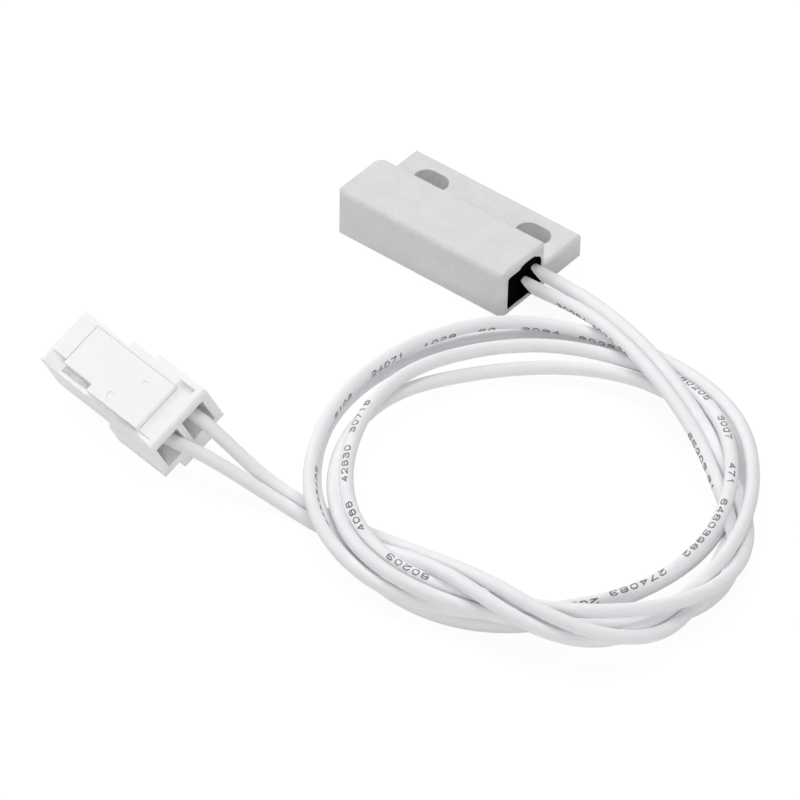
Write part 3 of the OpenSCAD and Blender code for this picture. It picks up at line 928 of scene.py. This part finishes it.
# The routes repeat the points that pull the wires in the part's source.
ROUTE_ONE = MM * np.array([
    (11.4, -2.6, 2.1), (13.8, -2.6, 2.1), (21.5, -4.2, 4.4), (31, -7.7, 5.4),
    (41, -12.1, 4.9), (50, -18.5, 3.6), (56, -23.5, 2), (56.5, -30, 0.5), (53, -37, 1),
    (47.3, -43.8, 2.5), (40.5, -48.5, 3.6), (30.5, -50.7, 4.2), (20.7, -47.3, 3.9),
    (13.7, -38.5, 3.8), (11.6, -27.5, 3), (14.5, -18.5, 1.3), (21.5, -10.5, 1.5),
    (31, -7, 2.6), (41, -8.7, 3.4), (50.1, -15.5, 2.2), (52, -26, 1), (49.3, -36, 1.3),
    (44.5, -45, 0.8), (35, -50, 0.7), (25, -49.5, 1.9), (15.5, -45, 2.7), (9.5, -35, 3.3),
    (8.5, -24.5, 2.4), (10.5, -15, 1.5), (17, -7, 1.1), (26.5, -3, 1.3), (36.5, -3.7, 1.2),
    (44.5, -8.1, 0.8), (50.6, -16, 0.7), (53, -23, 1.2), (55.6, -29.5, 2.5),
    (57.1, -37, 2.3), (54.5, -43, 4.2), (48, -46, 5.7), (40.5, -45.8, 6.2),
    (31, -44.6, 3.2), (20.5, -44.2, 0.8), (11.5, -44.5, 0.7), (6, -45.5, 4.3),
    (1.5, -45.2, 5.7), (-1.5, -44.9, 5.4), (-3.6, -44.6, 5.35)])
ROUTE_TWO = MM * np.array([
    (11.4, -0.9, 2.8), (13.8, -0.9, 2.8), (21.5, -2.7, 4.5), (31.5, -6.1, 5.4),
    (41, -10.6, 4.4), (46.9, -14.4, 4), (52.5, -18, 3.4), (57, -24, 3.6), (57.5, -31, 4.1),
    (55.2, -37.5, 5.1), (50, -42.5, 5), (41.5, -46, 4), (31.5, -48.9, 3.4), (21, -46, 4.2),
    (14.5, -37, 4.9), (11.5, -26.5, 4.6), (13.5, -16.5, 2.9), (20, -8.5, 2.6),
    (30.5, -5.5, 2.8), (40, -7.4, 4.7), (49, -15, 6.3), (53.5, -24.5, 5.1),
    (52, -34.5, 3.3), (45.5, -42.5, 2.5), (37.5, -49.5, 2.2), (27.5, -51.5, 2.7),
    (17, -47.5, 3.9), (11, -38, 4.9), (8.5, -27.5, 4.3), (9.5, -17.5, 3.6),
    (14.5, -8.5, 3.1), (24.5, -4.1, 2.5), (34.5, -4.1, 3.6), (44.5, -8.4, 5.6),
    (50, -13.5, 5.2), (53.8, -19.5, 5.2), (55.7, -26, 4.4), (55.5, -33.5, 3.6),
    (54.5, -40.5, 2.6), (50.5, -45.5, 3.3), (44.5, -48, 5.2), (37, -47.2, 5.7),
    (29.5, -46.1, 3.5), (21, -46, 0.3), (12, -46, 1.1), (5.5, -47.8, 3.9), (1, -48, 3.8),
    (-2, -48.3, 3.6), (-4.1, -48.05, 3.6)])

# Each group of figures: where it starts along its wire in millimetres, its turn
# round the wire in degrees, and its figures.
PRINT_ONE = [(6.8, -22, "30281"), (13.0, -26, "4072"), (18.2, -26, "68"), (34.0, 14, "65203"),
             (40.2, 8, "81")]
PRINT_TWO = [(96.5, 108, "80203"), (106.1, 112, "4086"), (113.2, 107, "42630"),
             (120.6, 116, "30718"), (166.2, 98, "80205"), (174.9, 92, "3007"),
             (183.1, 92, "471"), (188.4, 84, "64803962"), (199.8, 98, "274083"),
             (207.6, 134, "2027"), (240.2, 18, "80326405"), (257.2, -2, "5106"),
             (265.6, 2, "24071"), (273.8, -18, "1028"), (280.8, -28, "60"),
             (285.8, -28, "3084"), (292.2, -24, "6028")]


@dataclass
class CadPart:
    """A group of CAD nodes that keep their shape and get a better finish."""

    nodes: dict[str, Finish]

    def dress(self) -> None:
        """Puts each node's finish on it, and makes each finish only once."""
        made: dict[str, bpy.types.Material] = {}
        for name, finish in self.nodes.items():
            if finish.name not in made:
                made[finish.name] = finish.material()
            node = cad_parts[name]
            node.data.materials.clear()
            node.data.materials.append(made[finish.name])
            log.info("%s: %s", name, finish.name)


@dataclass
class RetainerPlate:
    """The retainer plate as it sits once it is pushed in: its far edge bears on
    the wall of its pocket, so that no gap shows there.

    roll and turn are the plug's angles in degrees, gap what the CAD plate leaves
    free on every side, hair what stays free of it, and edge_band how far from
    the farthest point a point still counts as one of the far edge.
    """

    roll: float = 27.05
    turn: float = -9.2
    gap: float = 0.08 * MM
    hair: float = 0.004 * MM
    edge_band: float = 0.005 * MM

    def across(self) -> np.ndarray:
        """Works out the direction across the plug: Y turned by roll about X, then by
        turn about Z.

        Returns:
            The direction, one unit long.
        """
        roll, turn = math.radians(self.roll), math.radians(self.turn)
        return np.array([-math.sin(turn) * math.cos(roll), math.cos(turn) * math.cos(roll),
                         math.sin(roll)])

    def build(self, material: bpy.types.Material) -> bpy.types.Object:
        """Makes the plate: a copy of the CAD plate whose points on the far edge
        move across by all but a hair of the gap.

        Args:
            material: the plate's finish.

        Returns:
            The linked plate, which replaces its CAD node.
        """
        mesh = merged_copy("plug_retainer", "retainer_plate")
        points = np.empty(len(mesh.vertices) * 3)
        mesh.vertices.foreach_get("co", points)
        points = points.reshape(-1, 3)
        place = points @ self.across()
        far = place > place.max() - self.edge_band
        points[far] += (self.gap - self.hair) * self.across()
        mesh.vertices.foreach_set("co", points.ravel())
        mesh.materials.append(material)
        mesh.update()
        plate = link_piece("retainer_plate", mesh)
        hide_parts("plug_retainer")
        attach(plate, ROOT)
        log.info("%s: %d points moved", plate.name, int(far.sum()))
        return plate


@dataclass(frozen=True)
class Lamp:
    """A square soft lamp: where it hangs and its side in metres, its power in watts."""

    name: str
    place: Place
    side: float
    power: float

    def hang(self, target: Place) -> None:
        """Puts the lamp into the scene and turns its -Z to a point.

        Args:
            target: the point.
        """
        data = bpy.data.lights.new(self.name, "AREA")
        data.shape, data.size, data.energy = "SQUARE", self.side, self.power
        lamp = link_piece(self.name, data)
        lamp.location = self.place
        away = np.array(self.place) - np.array(target)
        tilt = math.atan2(math.hypot(away[0], away[1]), away[2])
        lamp.rotation_euler = (tilt, 0.0, math.atan2(away[1], away[0]) + math.pi / 2)


LAMPS = (Lamp("overhead", (-0.05, 0.12, 0.7), 0.45, 2.1),
         Lamp("front_fill", (0.5, -0.5, 0.35), 0.4, 1.6),
         Lamp("side_fill", (-0.6, 0.05, 0.35), 0.5, 2.3))


@dataclass
class Studio:
    """Camera, soft lamps, pale floor and white surroundings.

    The lamps point at middle. The eye sees the floor as floor_glow plus what
    floor_shadow gives back of the light, while the object gets the light that
    floor_colour gives back.
    """

    camera_at: Place = (0.325435, -0.426524, 0.442976)
    camera_turn: Place = (49.0225, -1.0507, 38.8918)
    lens_mm: float = 286.335
    sensor_mm: float = 36.0
    sky: float = 0.27
    middle: Place = (0.015, -0.02, 0.0)
    floor_colour: Colour = (0.85, 0.85, 0.85)
    floor_shadow: Colour = (0.11, 0.11, 0.11)
    floor_glow: float = 0.92
    floor_half: float = 1.5
    floor_drop: float = 0.02 * MM

    def set_camera(self) -> None:
        """Sets a long lens at the photograph's viewing angle."""
        data = bpy.data.cameras.new("studio_camera")
        data.lens, data.sensor_width, data.sensor_fit = self.lens_mm, self.sensor_mm, "HORIZONTAL"
        camera = link_piece("studio_camera", data)
        camera.location = self.camera_at
        camera.rotation_euler = [math.radians(a) for a in self.camera_turn]
        bpy.context.scene.camera = camera
        bpy.context.scene.view_settings.view_transform = "Standard"

    def set_lamps(self) -> None:
        """Hangs a large soft lamp over the object, and one low on either side."""
        for lamp in LAMPS:
            lamp.hang(self.middle)

    def set_world(self) -> None:
        """Even sky light, with pure white for what looks straight at it."""
        world = bpy.data.worlds.new("studio_world")
        world.use_nodes = True
        bpy.context.scene.world = world
        r = Recipe(world.node_tree)
        sky = r.add(Kind.SKY, {"Color": WHITE, "Strength": self.sky})
        white = r.add(Kind.SKY, {"Color": WHITE, "Strength": 1.0})
        r.add(Kind.WORLD_OUT, {"Surface": r.choose(background_rays(r), sky, white)})

    def set_floor(self) -> None:
        """A pale floor: plain matt to the light, and near white with the object's
        faint shadow to the eye."""
        material, r = new_material("studio_floor")
        matt = r.add(Kind.DIFFUSE, {"Color": (*self.floor_colour, 1.0)})
        shadow = r.add(Kind.DIFFUSE, {"Color": (*self.floor_shadow, 1.0)})
        glow = r.add(Kind.GLOW, {"Color": WHITE, "Strength": self.floor_glow})
        pale = r.add(Kind.ADD, {0: shadow.outputs[0], 1: glow.outputs[0]})
        r.add(Kind.SURFACE_OUT, {"Surface": r.choose(background_rays(r), matt, pale)})
        corners = self.floor_half * np.array([(-1, -1, 0), (1, -1, 0), (1, 1, 0), (-1, 1, 0)])
        floor = make_piece("studio_floor", corners - np.array([0, 0, self.floor_drop]),
                           [[0, 1, 2, 3]], material, smooth=False)


def background_rays(r: Recipe) -> Socket:
    """Tells rays that look straight, off a gloss or through glass from the rest.

    Args:
        r: the recipe that gets the nodes.

    Returns:
        A socket that is 1 for such rays and 0 for the others.
    """
    rays = r.add(Kind.PATHS).outputs
    first = r.add(Kind.MATHS, {0: rays["Is Camera Ray"], 1: rays["Is Glossy Ray"]},
                  operation="MAXIMUM")
    return r.add(Kind.MATHS, {0: first.outputs[0], 1: rays["Is Transmission Ray"]},
                 operation="MAXIMUM").outputs[0]


HOUSING_PLASTIC = MouldedPlastic("housing_plastic", (0.748, 0.758, 0.751), roughness=0.55,
                                 grain_mm=0.28, depth_mm=0.06, mottle=0.075)
PLUG_PLASTIC = MouldedPlastic("plug_plastic", (0.985, 0.987, 0.99), roughness=0.42, mottle=0.015,
                              translucence=0.4)
RETAINER_PLASTIC = MouldedPlastic("retainer_plastic", (0.955, 0.96, 0.97), roughness=0.38,
                                  mottle=0.015, translucence=0.1)
INSULATION = WireInsulation("wire_insulation", (0.92, 0.925, 0.94))
REED_METAL = Metal("reed_metal", (0.62, 0.6, 0.56), 0.3)
CONTACT_METAL = Metal("contact_metal", (0.78, 0.76, 0.7), 0.28)
SOLDER_METAL = Metal("solder_metal", (0.55, 0.55, 0.56), 0.42)
STRAND_METAL = Metal("strand_metal", (0.75, 0.66, 0.52), 0.3)


def main() -> None:
    """Builds the studio, the wires and the dressed parts in order."""
    logging.basicConfig(level=logging.INFO, format="%(name)s %(message)s")
    studio = Studio()
    studio.set_camera()
    insulation = INSULATION.material()
    wires = [Wire("insulated_wire_one", "wire_one", ROUTE_ONE, embed=1.3 * MM, length=403.4 * MM),
             Wire("insulated_wire_two", "wire_two", ROUTE_TWO, embed=6.6 * MM, length=414.5 * MM)]
    tubes = [wire.build(insulation) for wire in wires]
    CadPart({
        "housing": HOUSING_PLASTIC, "potting": PottingResin(), "reed_glass": TubeGlass(),
        "reed_blade_one": REED_METAL, "reed_blade_two": REED_METAL,
        "solder_one": SOLDER_METAL, "solder_two": SOLDER_METAL,
        "strands_one_in_sensor": STRAND_METAL, "strands_two_in_sensor": STRAND_METAL,
        "strands_one_in_plug": STRAND_METAL, "strands_two_in_plug": STRAND_METAL,
        "contact_one": CONTACT_METAL, "contact_two": CONTACT_METAL,
        "plug_housing": PLUG_PLASTIC, "plug_retainer": RETAINER_PLASTIC}).dress()
    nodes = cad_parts
    skin = PottingSkin(nodes["potting"].data.materials[0])
    skin.body()
    skin.spill()
    skin.collar(wires[0], "potting_collar_one")
    skin.collar(wires[1], "potting_collar_two")
    ink = PrintInk().material()
    prints = [WirePrint("print_one", wires[0], PRINT_ONE).build(ink),
              WirePrint("print_two", wires[1], PRINT_TWO).build(ink)]
    plate = RetainerPlate().build(nodes["plug_retainer"].data.materials[0])
    plug = [nodes["plug_housing"], plate]
    wires[0].declare(tubes[0], [*plug, prints[0], nodes["contact_one"],
                                nodes["strands_one_in_plug"]])
    wires[1].declare(tubes[1], [*plug, prints[1], nodes["contact_two"],
                                nodes["strands_two_in_plug"]])
    studio.set_lamps()
    studio.set_world()
    studio.set_floor()


if __name__ == "__main__":
    main()
